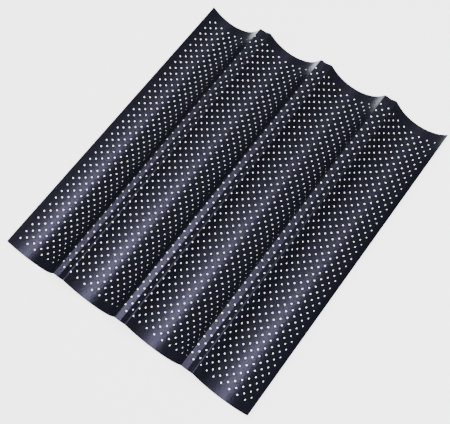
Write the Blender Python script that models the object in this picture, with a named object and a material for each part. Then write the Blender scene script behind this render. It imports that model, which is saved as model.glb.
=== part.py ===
"""A baguette tray: one pressed steel sheet with four lengthwise troughs between narrow grooved ridges.

Metres, +Z up, +Y along the troughs, +X across them. The origin is the centre of the tray's footprint
on the surface that it stands on.

The section is a single line, the middle of the sheet, followed from left to right. It is made of
straight runs and round bends. That line is cut to the width of the blank, given the sheet's
thickness, and extruded along the troughs.
"""

import math

import bmesh
import bpy

# Driving dimensions of the sheet, measured on the middle of its thickness.
LENGTH = 0.380
THICKNESS = 0.0006
TROUGHS = 4
TROUGH_RADIUS = 0.040
WALL_ANGLE = math.radians(51.5)       # slope of the straight wall beside a ridge
WALL_LENGTH = 0.0078                  # straight wall, up to the ridge's sharp corner
RIDGE_WIDTH = 0.0145                  # from one crease of a ridge to the other
GROOVE_ANGLE = math.radians(13.0)     # how far each half of a ridge's top slopes into its groove
CREASE_RADIUS = 0.0015
GROOVE_RADIUS = 0.0030
RIDGE_BOW = math.radians(3.0)         # each ridge bends the sheet this far, so it arches a little
BLANK_WIDTH = 0.384                   # of the flat blank, across the troughs
BLANK_OFFSET = -0.0033                # the blank lies this far off the middle ridge in the press

# A round bend turns into flat facets, one of them level where a trough is lowest.
FACET_TURN = math.radians(4.0)

COATING_COLOUR = (0.018, 0.019, 0.027, 1.0)
COATING_ROUGHNESS = 0.38
COATING_METALLIC = 0.35


def corner_trim(radius, turn):
    """Length that a bend of this radius takes off each straight run that meets at its corner."""
    return radius * math.tan(abs(turn) / 2)


def trough_runs():
    """One trough, from crease to crease, as (length, turn) pairs."""
    wall = WALL_LENGTH - corner_trim(CREASE_RADIUS, WALL_ANGLE + GROOVE_ANGLE)
    arc = 2 * WALL_ANGLE * TROUGH_RADIUS
    return [(wall, 0.0), (arc, 2 * WALL_ANGLE), (wall, 0.0)]


def ridge_runs():
    """One ridge: a crease, two slopes that meet in a shallow groove, and a crease."""
    crease_turn = WALL_ANGLE + GROOVE_ANGLE + RIDGE_BOW / 2
    groove_turn = 2 * GROOVE_ANGLE
    slope = RIDGE_WIDTH / 2 / math.cos(GROOVE_ANGLE)
    slope -= corner_trim(CREASE_RADIUS, crease_turn) + corner_trim(GROOVE_RADIUS, groove_turn)
    crease = (crease_turn * CREASE_RADIUS, -crease_turn)
    groove = (groove_turn * GROOVE_RADIUS, groove_turn)
    return [crease, (slope, 0.0), groove, (slope, 0.0), crease]


def run_length(runs):
    return sum(length for length, turn in runs)


def section_runs():
    """The whole section before the blank's edges cut it: troughs with a ridge between neighbours."""
    runs = trough_runs()
    for _ in range(TROUGHS - 1):
        runs += ridge_runs() + trough_runs()
    return runs


def facet_headings(start, turn):
    """Headings at the ends of a bend's facets: the bend's own ends and odd multiples of half a facet."""
    if turn == 0.0:
        return [start, start]
    low, high = sorted((start, start + turn))
    first = math.ceil(low / FACET_TURN - 0.5) + 0.5
    inner = []
    heading = first * FACET_TURN
    while heading < high:
        if min(heading - low, high - heading) > FACET_TURN / 10:
            inner.append(heading)
        heading += FACET_TURN
    if turn < 0:
        inner.reverse()
    return [start] + inner + [start + turn]


def section_points():
    """Points (place along the sheet, x, z, heading) of the whole section, from left to right."""
    runs = section_runs()
    along = -run_length(runs) / 2
    heading = -WALL_ANGLE + RIDGE_BOW * (TROUGHS - 1) / 2
    x = z = 0.0
    points = [(along, x, z, heading)]
    for length, turn in runs:
        headings = facet_headings(heading, turn)
        for before, after in zip(headings, headings[1:]):
            share = (after - before) / turn if turn else 1.0
            half_turn = (after - before) / 2
            chord = length * share
            if half_turn:
                chord *= math.sin(half_turn) / half_turn
            x += chord * math.cos(before + half_turn)
            z += chord * math.sin(before + half_turn)
            along += length * share
            points.append((along, x, z, after))
        heading += turn
    return points


def point_between(a, b, along):
    """The point of the line from a to b that lies this far along the sheet."""
    share = (along - a[0]) / (b[0] - a[0])
    return tuple(p + (q - p) * share for p, q in zip(a, b))


def blank_points():
    """The section between the blank's two long edges."""
    first = BLANK_OFFSET - BLANK_WIDTH / 2
    last = BLANK_OFFSET + BLANK_WIDTH / 2
    points = section_points()
    kept = []
    for a, b in zip(points, points[1:]):
        if a[0] < first < b[0]:
            kept.append(point_between(a, b, first))
        if first <= b[0] <= last:
            kept.append(b)
        if a[0] < last < b[0]:
            kept.append(point_between(a, b, last))
    return kept


def offset_line(points, distance):
    """The line moved sideways by distance, positive upwards, as (x, z) pairs."""
    return [
        (x - distance * math.sin(heading), z + distance * math.cos(heading))
        for _, x, z, heading in points
    ]


def standing_outline():
    """The sheet's closed outline across the troughs, centred and standing on z = 0."""
    points = blank_points()
    top = offset_line(points, THICKNESS / 2)
    underside = offset_line(points, -THICKNESS / 2)
    outline = underside + top[::-1]
    middle = (min(x for x, z in outline) + max(x for x, z in outline)) / 2
    floor = min(z for x, z in outline)
    return [(x - middle, z - floor) for x, z in outline]


def coated_steel():
    material = bpy.data.materials.new("nonstick_coated_steel")
    material.use_nodes = True
    shader = material.node_tree.nodes["Principled BSDF"]
    shader.inputs["Base Color"].default_value = COATING_COLOUR
    shader.inputs["Roughness"].default_value = COATING_ROUGHNESS
    shader.inputs["Metallic"].default_value = COATING_METALLIC
    return material


def add_strip_faces(mesh, near, far):
    """Closes the extrusion: its surface all round, and its two thin ends as rows of quads."""
    count = len(near)
    for i in range(count):
        j = (i + 1) % count
        mesh.faces.new((near[i], near[j], far[j], far[i]))
    for i in range(count // 2 - 1):
        a, b = count - 1 - i, count - 2 - i
        mesh.faces.new((near[i], near[a], near[b], near[i + 1]))
        mesh.faces.new((far[i], far[i + 1], far[b], far[a]))


def add_tray_sheet():
    """The tray's only piece: the pressed sheet."""
    mesh = bmesh.new()
    outline = standing_outline()
    near = [mesh.verts.new((x, -LENGTH / 2, z)) for x, z in outline]
    far = [mesh.verts.new((x, LENGTH / 2, z)) for x, z in outline]
    add_strip_faces(mesh, near, far)
    bmesh.ops.recalc_face_normals(mesh, faces=mesh.faces)
    data = bpy.data.meshes.new("tray_sheet")
    mesh.to_mesh(data)
    mesh.free()
    data.materials.append(coated_steel())
    data.shade_smooth()
    data.set_sharp_from_angle(angle=math.radians(30.0))
    sheet = bpy.data.objects.new("tray_sheet", data)
    bpy.context.scene.collection.objects.link(sheet)
    return sheet


def main():
    for leftover in list(bpy.data.objects):
        bpy.data.objects.remove(leftover)
    add_tray_sheet()


main()
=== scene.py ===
"""Looks of a perforated baguette tray: the pressed sheet with its holes, its coating, floor and light.

Metres, +Z up, +Y along the troughs. The sheet is made flat, with every hole in it, and is then bent
to the tray's section, so the holes run on over creases and ridges as they do in a pressed blank.
"""

import math

import bmesh
import bpy
import numpy as np
from mathutils import Matrix, Vector


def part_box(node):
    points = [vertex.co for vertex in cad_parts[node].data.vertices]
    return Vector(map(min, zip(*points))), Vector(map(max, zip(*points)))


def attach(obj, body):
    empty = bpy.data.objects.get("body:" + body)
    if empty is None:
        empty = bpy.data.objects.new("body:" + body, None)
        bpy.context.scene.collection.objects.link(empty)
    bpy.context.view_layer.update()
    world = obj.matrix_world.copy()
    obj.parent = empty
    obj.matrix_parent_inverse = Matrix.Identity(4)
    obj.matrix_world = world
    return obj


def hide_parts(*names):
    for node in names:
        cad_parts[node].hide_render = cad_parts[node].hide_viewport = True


# The section of the sheet, on the middle of its thickness, as the CAD sheet has it.
THICKNESS = 0.0006
TROUGHS = 4
TROUGH_RADIUS = 0.040
WALL_ANGLE = math.radians(51.5)
WALL_LENGTH = 0.0078
RIDGE_WIDTH = 0.0145
GROOVE_ANGLE = math.radians(13.0)
CREASE_RADIUS = 0.0015
GROOVE_RADIUS = 0.0030
RIDGE_BOW = math.radians(3.0)
BLANK_WIDTH = 0.384
BLANK_OFFSET = -0.0033

# The perforation: rows run along the troughs, and every second row is moved half a pitch.
HOLE_ROWS = 72
ROW_SPACING = 0.00513
FIELD_OFFSET = -0.00405               # the middle of the perforated field, from the middle ridge
HOLES_PER_ROW = 36
HOLE_PITCH = 0.010
HOLE_RADIUS = 0.00085                 # gives the look of the photo; the real holes are probably wider
HOLE_SIDES = 11

# The mesh of the bent sheet.
CREASE_CUTS = 3                       # lines that let a crease bend round, between its two ends
GROOVE_CUTS = 1
MARGIN_STRIPS = 3                     # strips that a plain side margin is divided into
CUT_TOLERANCE = 1e-7
HOLE_EDGE_REACH = 1.05                # in hole radii: an edge that lies this near goes round the hole
BOX_SAMPLES = 20001                   # places tried along the section when its box is measured

# The coating.
COATING_DARK = (0.0085, 0.0095, 0.0150, 1.0)
COATING_LIGHT = (0.0125, 0.0135, 0.0210, 1.0)
COATING_SHEEN = (0.64, 0.62, 1.0, 1.0)  # tint of what it mirrors
COATING_IOR = 1.5
ROUGHNESS_RANGE = (0.30, 0.36)
GLOSS_PATCH_NOISE = (0.3, 0.7)        # values of the slow noise that give the ends of that range
GLOSS_PATCH_SCALE = 14.0              # noise features per metre
GLOSS_PATCH_DETAIL = 3.0
GRAIN_NOISE = (0.35, 0.65)            # values of the fine noise that give the dark and light colours
GRAIN_SCALE = 480.0
GRAIN_DETAIL = 4.0
GRAIN_STRENGTH = 1.0
GRAIN_HEIGHT = 0.0003

# The studio. Brightness is in the units of emission strength, and a softbox's power is in watts.
FLOOR_SIZE = 14.0
FLOOR_COLOUR = (0.9, 0.9, 0.9, 1.0)
FLOOR_GLOW_COLOUR = (1.0, 1.0, 1.0, 1.0)
FLOOR_ROUGHNESS = 0.9
FLOOR_SPECULAR = 0.1
FLOOR_GLOW = 3.5
STUDIO_WHITE = (0.9, 0.93, 1.0, 1.0)
ROOM_GLOW = 0.003
# Direction, edges and glow of each bright side: low beyond the far left corner, above that, in front
# of the tray and beyond its far end. The edges are the cosines of the angles from the direction where
# the glow begins and where it is full.
BRIGHT_SIDES = (
    ((-0.60, 0.48, -0.65), (0.84, 0.99), 6.0),
    ((-0.72, 0.60, 0.35), (0.72, 1.00), 0.45),
    ((0.0, -1.0, 0.0), (0.30, 0.65), 0.4),
    ((0.0, 1.0, 0.0), (0.75, 0.95), 0.4),
)
# Name, place, width, height and power of each softbox. All of them face the middle of the tray.
SOFTBOXES = (
    ("key_softbox", (0.00, 0.05, 1.40), 0.41, 0.60, 8.3),
    ("far_softbox", (0.10, 0.75, 1.20), 0.80, 0.70, 1.5),
    ("fill_softbox", (0.42, -0.02, 1.35), 0.45, 0.60, 6.5),
    ("side_softbox", (1.00, 0.20, 0.90), 0.80, 0.80, 2.4),
)

# The camera turns round a point near the middle of the tray.
CAMERA_TARGET = Vector((0.0087, -0.0211, 0.0))
CAMERA_AZIMUTH = math.radians(47.44)
CAMERA_ELEVATION = math.radians(63.85)
CAMERA_ROLL = math.radians(-12.06)
CAMERA_DISTANCE = 0.934
CAMERA_LENS = 67.4
SENSOR_WIDTH = 36.0


def corner_trim(radius, turn):
    """Length that a bend of this radius takes off each straight run that meets at its corner."""
    return radius * math.tan(abs(turn) / 2)


def trough_runs():
    """One trough, from crease to crease, as (length, turn) pairs."""
    wall = WALL_LENGTH - corner_trim(CREASE_RADIUS, WALL_ANGLE + GROOVE_ANGLE)
    arc = 2 * WALL_ANGLE * TROUGH_RADIUS
    return [(wall, 0.0), (arc, 2 * WALL_ANGLE), (wall, 0.0)]


def ridge_runs():
    """One ridge: a crease, two slopes that meet in a shallow groove, and a crease."""
    crease_turn = WALL_ANGLE + GROOVE_ANGLE + RIDGE_BOW / 2
    groove_turn = 2 * GROOVE_ANGLE
    slope = RIDGE_WIDTH / 2 / math.cos(GROOVE_ANGLE)
    slope -= corner_trim(CREASE_RADIUS, crease_turn) + corner_trim(GROOVE_RADIUS, groove_turn)
    crease = (crease_turn * CREASE_RADIUS, -crease_turn)
    groove = (groove_turn * GROOVE_RADIUS, groove_turn)
    return [crease, (slope, 0.0), groove, (slope, 0.0), crease]


def run_length(runs):
    return sum(length for length, turn in runs)


def section_runs():
    """The section of the whole sheet: troughs with a ridge between neighbours."""
    runs = trough_runs()
    for _ in range(TROUGHS - 1):
        runs += ridge_runs() + trough_runs()
    return runs


class Section:
    """Bends places on the flat sheet to the tray's section."""

    def __init__(self):
        runs = section_runs()
        along = -run_length(runs) / 2
        heading = -WALL_ANGLE + RIDGE_BOW * (TROUGHS - 1) / 2
        x = z = 0.0
        self.starts = []
        for length, turn in runs:
            self.starts.append((along, x, z, heading, turn / length))
            chord = length * (math.sin(turn / 2) / (turn / 2) if turn else 1.0)
            x += chord * math.cos(heading + turn / 2)
            z += chord * math.sin(heading + turn / 2)
            along += length
            heading += turn
        self.table = np.array(self.starts)
        self.shift = np.zeros(2)

    def at(self, along):
        """Places x, z and the heading there, for an array of places along the sheet."""
        run = np.clip(np.searchsorted(self.table[:, 0], along, side="right") - 1, 0, None)
        start, x, z, heading, curve = self.table[run].T
        length = along - start
        half_turn = curve * length / 2
        chord = length * np.sinc(half_turn / np.pi)
        x = x + chord * np.cos(heading + half_turn) + self.shift[0]
        z = z + chord * np.sin(heading + half_turn) + self.shift[1]
        return x, z, heading + curve * length

    def stand(self, first, last, low, high):
        """Moves the section so that the sheet between first and last fills the CAD sheet's box."""
        x, z, heading = self.at(np.linspace(first, last, BOX_SAMPLES))
        underside = z - THICKNESS / 2 * np.cos(heading)
        lean = THICKNESS / 2 * np.abs(np.sin(heading))
        left = (x - lean).min()
        right = (x + lean).max()
        self.shift = np.array([(low.x + high.x - left - right) / 2, low.z - underside.min()])


def row_place(row):
    """Where a row of holes lies along the section."""
    return FIELD_OFFSET + (row - (HOLE_ROWS - 1) / 2) * ROW_SPACING


def hole_place(row, hole):
    """Where a hole lies along the troughs. Row and hole may be arrays."""
    stagger = (row % 2 - 0.5) * HOLE_PITCH / 2
    return (hole - (HOLES_PER_ROW - 1) / 2) * HOLE_PITCH + stagger


def line_places():
    """Places along the section of the lines between the rows, with the plain margins beside them."""
    left = BLANK_OFFSET - BLANK_WIDTH / 2
    right = BLANK_OFFSET + BLANK_WIDTH / 2
    first = row_place(0) - ROW_SPACING / 2
    last = row_place(HOLE_ROWS - 1) + ROW_SPACING / 2
    rows = [row_place(row) - ROW_SPACING / 2 for row in range(1, HOLE_ROWS)]
    left_margin = np.linspace(left, first, MARGIN_STRIPS + 1).tolist()
    right_margin = np.linspace(last, right, MARGIN_STRIPS + 1).tolist()
    return left_margin + rows + right_margin


def border_heights(length):
    """Places along the troughs where the cells of the rows have corners, with the sheet's two ends."""
    count = 2 * HOLES_PER_ROW + 2
    first = hole_place(0, 0) - HOLE_PITCH / 2
    return [-length / 2] + [first + i * HOLE_PITCH / 2 for i in range(count)] + [length / 2]


class FlatSheet:
    """The blank before it is pressed: points (place along the section, place along the troughs)."""

    def __init__(self, length):
        self.lines = line_places()
        self.heights = border_heights(length)
        self.points = [(s, y) for s in self.lines for y in self.heights]
        self.faces = []
        for line in range(MARGIN_STRIPS):
            self.add_plain_strip(line)
            self.add_plain_strip(len(self.lines) - 2 - line)
        for row in range(HOLE_ROWS):
            self.add_row(row)

    def border(self, line, height):
        return line * len(self.heights) + height

    def add_strip(self, line, low, high):
        """One flat face between two lines, with a corner at every height on its sides."""
        right = [self.border(line + 1, h) for h in range(low, high + 1)]
        left = [self.border(line, h) for h in range(high, low - 1, -1)]
        self.faces.append(right + left)

    def add_plain_strip(self, line):
        for height in range(len(self.heights) - 1):
            self.add_strip(line, height, height + 1)

    def add_row(self, row):
        """A row's cells, each with its hole, and the plain strips at the row's two ends."""
        line = MARGIN_STRIPS + row
        first = 1 + row % 2
        self.add_strip(line, 0, first)
        for hole in range(HOLES_PER_ROW):
            self.add_cell(line, first + 2 * hole, row_place(row), hole_place(row, hole))
        self.add_strip(line, first + 2 * HOLES_PER_ROW, len(self.heights) - 1)

    def add_cell(self, line, low, middle, height):
        """A cell's face round its hole: each side of the hole goes to the border point it looks at."""
        border = [self.border(line, low), self.border(line + 1, low),
                  self.border(line + 1, low + 1), self.border(line + 1, low + 2),
                  self.border(line, low + 2), self.border(line, low + 1)]
        angles = [self.angle(point, middle, height) for point in border]
        ring = len(self.points)
        looks_at = []
        for side in range(HOLE_SIDES):
            turn = side * math.tau / HOLE_SIDES
            s = middle + HOLE_RADIUS * math.cos(turn)
            y = height + HOLE_RADIUS * math.sin(turn)
            self.points.append((s, y))
            looks_at.append(self.nearest(angles, (side + 0.5) * math.tau / HOLE_SIDES))
        for side in range(HOLE_SIDES):
            here, there = ring + side, ring + (side + 1) % HOLE_SIDES
            self.faces.append([border[looks_at[side]], there, here])
            if looks_at[side] != looks_at[side - 1]:
                self.faces.append([border[looks_at[side - 1]], border[looks_at[side]], here])

    def angle(self, point, middle, height):
        s, y = self.points[point]
        return math.atan2(y - height, s - middle)

    @staticmethod
    def nearest(angles, wanted):
        return min(range(len(angles)), key=lambda i: abs(math.remainder(angles[i] - wanted, math.tau)))


def bend_lines(section):
    """Places where the flat sheet needs a line of points, so that its tight bends come out round."""
    places = []
    for (start, *_, curve), (end, *_) in zip(section.starts, section.starts[1:]):
        if abs(curve) > 2 / TROUGH_RADIUS:
            cuts = CREASE_CUTS if curve < 0 else GROOVE_CUTS
            places += [start + (end - start) * i / (cuts + 1) for i in range(cuts + 2)]
    return places


def spans(face, place):
    """Whether a flat face has corners on both sides of a place along the section."""
    sides = [corner.co.x for corner in face.verts]
    return min(sides) < place < max(sides)


def cut_flat_mesh(flat, places):
    """Cuts the flat sheet's faces along those places, and returns its points and triangles."""
    mesh = bmesh.new()
    verts = [mesh.verts.new((s, y, 0.0)) for s, y in flat.points]
    for face in flat.faces:
        mesh.faces.new([verts[i] for i in face])
    for place in places:
        near = [f for f in mesh.faces if spans(f, place)]
        edges = {e for f in near for e in f.edges}
        corners = {v for f in near for v in f.verts}
        bmesh.ops.bisect_plane(mesh, geom=near + list(edges) + list(corners), dist=CUT_TOLERANCE,
                               plane_co=(place, 0, 0), plane_no=(1, 0, 0))
    bmesh.ops.triangulate(mesh, faces=mesh.faces[:])
    mesh.verts.ensure_lookup_table()
    mesh.verts.index_update()
    points = np.array([v.co.xy for v in mesh.verts])
    triangles = np.array([[v.index for v in f.verts] for f in mesh.faces])
    mesh.free()
    return points, triangles


def open_edges(triangles):
    """Edges that only one triangle has, in that triangle's direction."""
    edges = np.concatenate([triangles[:, [0, 1]], triangles[:, [1, 2]], triangles[:, [2, 0]]])
    count = triangles.max() + 1
    key = edges[:, 0] * count + edges[:, 1]
    reverse = edges[:, 1] * count + edges[:, 0]
    return edges[~np.isin(key, reverse)]


def wall_directions(points, edges):
    """For each open edge, the flat directions that its wall faces at its two ends."""
    step = points[edges[:, 1]] - points[edges[:, 0]]
    outward = np.stack([step[:, 1], -step[:, 0]], axis=1)
    outward /= np.linalg.norm(outward, axis=1)[:, None]
    directions = np.stack([outward, outward], axis=1)
    s, y = points[edges].mean(axis=1).T
    row = np.rint((s - row_place(0)) / ROW_SPACING)
    hole = np.rint((y - hole_place(row, 0)) / HOLE_PITCH)
    middles = np.stack([row_place(row), hole_place(row, hole)], axis=1)
    to_middle = middles[:, None, :] - points[edges]
    distance = np.linalg.norm(to_middle, axis=2)
    round_a_hole = (distance < HOLE_RADIUS * HOLE_EDGE_REACH).all(axis=1)
    directions[round_a_hole] = to_middle[round_a_hole] / distance[round_a_hole][:, :, None]
    return directions


def bent_sheet(name, points, triangles, section):
    """The pressed sheet: both faces, the walls of the holes and the cut edges, with exact normals.

    Its UV map gives each point's place on the flat blank, in metres.
    """
    x, z, heading = section.at(points[:, 0])
    across = np.stack([np.cos(heading), np.zeros_like(heading), np.sin(heading)], axis=1)
    up = np.stack([-np.sin(heading), np.zeros_like(heading), np.cos(heading)], axis=1)
    middle = np.stack([x, points[:, 1], z], axis=1)
    count = len(points)
    places = np.concatenate([middle + up * THICKNESS / 2, middle - up * THICKNESS / 2])
    edges = open_edges(triangles)
    walls = np.stack([edges[:, 0], edges[:, 0] + count, edges[:, 1] + count, edges[:, 1]], axis=1)
    flat = wall_directions(points, edges)
    along = np.array([0.0, 1.0, 0.0])
    facing = across[edges] * flat[:, :, :1] + along * flat[:, :, 1:]
    faces = triangles.tolist() + (triangles[:, ::-1] + count).tolist() + walls.tolist()
    normals = np.concatenate([
        up[triangles].reshape(-1, 3),
        -up[triangles[:, ::-1]].reshape(-1, 3),
        facing[:, [0, 0, 1, 1]].reshape(-1, 3),
    ])
    mesh = bpy.data.meshes.new(name)
    mesh.from_pydata(places.tolist(), [], faces)
    blank = mesh.uv_layers.new(name="blank")
    loops = np.zeros(len(mesh.loops), np.int32)
    mesh.loops.foreach_get("vertex_index", loops)
    blank.data.foreach_set("uv", points[loops % count].astype(np.float32).ravel())
    mesh.shade_smooth()
    mesh.normals_split_custom_set(normals.tolist())
    sheet = bpy.data.objects.new(name, mesh)
    bpy.context.scene.collection.objects.link(sheet)
    return sheet


def new_material(name):
    material = bpy.data.materials.new(name)
    material.use_nodes = True
    return material, material.node_tree.nodes["Principled BSDF"]


def coated_steel():
    """Dark blue-black non-stick coating: fine orange peel and speckle over slow changes of gloss."""
    material, shader = new_material("nonstick_coating")
    nodes, links = material.node_tree.nodes, material.node_tree.links
    place = nodes.new("ShaderNodeTexCoord")
    slow = nodes.new("ShaderNodeTexNoise")
    slow.inputs["Scale"].default_value = GLOSS_PATCH_SCALE
    slow.inputs["Detail"].default_value = GLOSS_PATCH_DETAIL
    fine = nodes.new("ShaderNodeTexNoise")
    fine.inputs["Scale"].default_value = GRAIN_SCALE
    fine.inputs["Detail"].default_value = GRAIN_DETAIL
    for noise in (slow, fine):
        links.new(place.outputs["Object"], noise.inputs["Vector"])
    tint = nodes.new("ShaderNodeValToRGB")
    colours = (COATING_DARK, COATING_LIGHT)
    for stop, value, colour in zip(tint.color_ramp.elements, GRAIN_NOISE, colours):
        stop.position = value
        stop.color = colour
    links.new(fine.outputs["Fac"], tint.inputs["Fac"])
    links.new(tint.outputs["Color"], shader.inputs["Base Color"])
    gloss = nodes.new("ShaderNodeMapRange")
    gloss.inputs["From Min"].default_value, gloss.inputs["From Max"].default_value = GLOSS_PATCH_NOISE
    gloss.inputs["To Min"].default_value, gloss.inputs["To Max"].default_value = ROUGHNESS_RANGE
    links.new(slow.outputs["Fac"], gloss.inputs["Value"])
    links.new(gloss.outputs["Result"], shader.inputs["Roughness"])
    bump = nodes.new("ShaderNodeBump")
    bump.inputs["Strength"].default_value = GRAIN_STRENGTH
    bump.inputs["Distance"].default_value = GRAIN_HEIGHT
    links.new(fine.outputs["Fac"], bump.inputs["Height"])
    links.new(bump.outputs["Normal"], shader.inputs["Normal"])
    shader.inputs["Metallic"].default_value = 0.0
    shader.inputs["IOR"].default_value = COATING_IOR
    shader.inputs["Specular Tint"].default_value = COATING_SHEEN
    return material


def add_floor():
    """A wide pale floor that glows, so the holes show bright as over a light table."""
    bpy.ops.mesh.primitive_plane_add(size=FLOOR_SIZE)
    floor = bpy.context.object
    floor.name = "floor"
    material, shader = new_material("pale_floor")
    shader.inputs["Base Color"].default_value = FLOOR_COLOUR
    shader.inputs["Roughness"].default_value = FLOOR_ROUGHNESS
    shader.inputs["Specular IOR Level"].default_value = FLOOR_SPECULAR
    shader.inputs["Emission Color"].default_value = FLOOR_GLOW_COLOUR
    shader.inputs["Emission Strength"].default_value = FLOOR_GLOW
    floor.data.materials.append(material)
    floor.visible_glossy = False


def add_softbox(name, place, width, height, power):
    """A soft studio light that faces the middle of the tray."""
    light = bpy.data.lights.new(name, "AREA")
    light.shape = "RECTANGLE"
    light.size, light.size_y = width, height
    light.energy = power
    holder = bpy.data.objects.new(name, light)
    holder.location = place
    holder.rotation_euler = (-Vector(place)).to_track_quat("-Z", "Y").to_euler()
    bpy.context.scene.collection.objects.link(holder)


def add_bright_side(tree, direction, edges, glow):
    """Lets the world glow around one direction, added to the brightness that it has already."""
    nodes, links = tree.nodes, tree.links
    place = nodes.new("ShaderNodeTexCoord")
    towards = nodes.new("ShaderNodeVectorMath")
    towards.operation = "DOT_PRODUCT"
    towards.inputs[1].default_value = Vector(direction).normalized()
    links.new(place.outputs["Generated"], towards.inputs[0])
    side = nodes.new("ShaderNodeMapRange")
    side.interpolation_type = "SMOOTHSTEP"
    side.inputs["From Min"].default_value, side.inputs["From Max"].default_value = edges
    side.inputs["To Max"].default_value = glow
    links.new(towards.outputs["Value"], side.inputs["Value"])
    whole = nodes.new("ShaderNodeMath")
    whole.operation = "ADD"
    whole.inputs[0].default_value = ROOM_GLOW
    strength = nodes["Background"].inputs["Strength"]
    for link in strength.links:
        links.new(link.from_socket, whole.inputs[0])
    links.new(side.outputs["Result"], whole.inputs[1])
    links.new(whole.outputs["Value"], strength)


def add_world():
    """A dim studio with bright sides, which the coating mirrors."""
    world = bpy.data.worlds.new("studio")
    world.use_nodes = True
    world.node_tree.nodes["Background"].inputs["Color"].default_value = STUDIO_WHITE
    for side in BRIGHT_SIDES:
        add_bright_side(world.node_tree, *side)
    bpy.context.scene.world = world


def add_camera():
    """Looks down on the tray from in front and to its right, with the camera tilted on its axis."""
    flat = math.cos(CAMERA_ELEVATION)
    back = Vector((math.sin(CAMERA_AZIMUTH) * flat, -math.cos(CAMERA_AZIMUTH) * flat,
                   math.sin(CAMERA_ELEVATION)))
    right = Vector((math.cos(CAMERA_AZIMUTH), math.sin(CAMERA_AZIMUTH), 0.0))
    turn = Matrix.Rotation(CAMERA_ROLL, 3, back)
    right = turn @ right
    up = back.cross(right)
    data = bpy.data.cameras.new("camera")
    data.sensor_width = SENSOR_WIDTH
    data.lens = CAMERA_LENS
    camera = bpy.data.objects.new("camera", data)
    axes = Matrix((right, up, back)).transposed()
    camera.matrix_world = Matrix.Translation(CAMERA_TARGET + back * CAMERA_DISTANCE) @ axes.to_4x4()
    bpy.context.scene.collection.objects.link(camera)
    bpy.context.scene.camera = camera


def add_tray(box):
    """The perforated sheet, which stands for the plain CAD sheet and fills its box."""
    low, high = box
    section = Section()
    flat = FlatSheet(high.y - low.y)
    section.stand(flat.lines[0], flat.lines[-1], low, high)
    points, triangles = cut_flat_mesh(flat, bend_lines(section))
    sheet = bent_sheet("perforated_sheet", points, triangles, section)
    sheet.data.materials.append(coated_steel())
    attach(sheet, "root")
    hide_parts("tray_sheet")


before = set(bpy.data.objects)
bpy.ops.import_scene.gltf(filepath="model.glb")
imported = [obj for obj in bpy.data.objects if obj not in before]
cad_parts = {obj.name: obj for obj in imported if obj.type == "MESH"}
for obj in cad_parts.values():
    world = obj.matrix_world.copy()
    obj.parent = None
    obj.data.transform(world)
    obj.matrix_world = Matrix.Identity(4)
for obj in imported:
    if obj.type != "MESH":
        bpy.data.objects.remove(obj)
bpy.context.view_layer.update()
add_tray(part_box("tray_sheet"))
add_floor()
for softbox in SOFTBOXES:
    add_softbox(*softbox)
add_world()
add_camera()
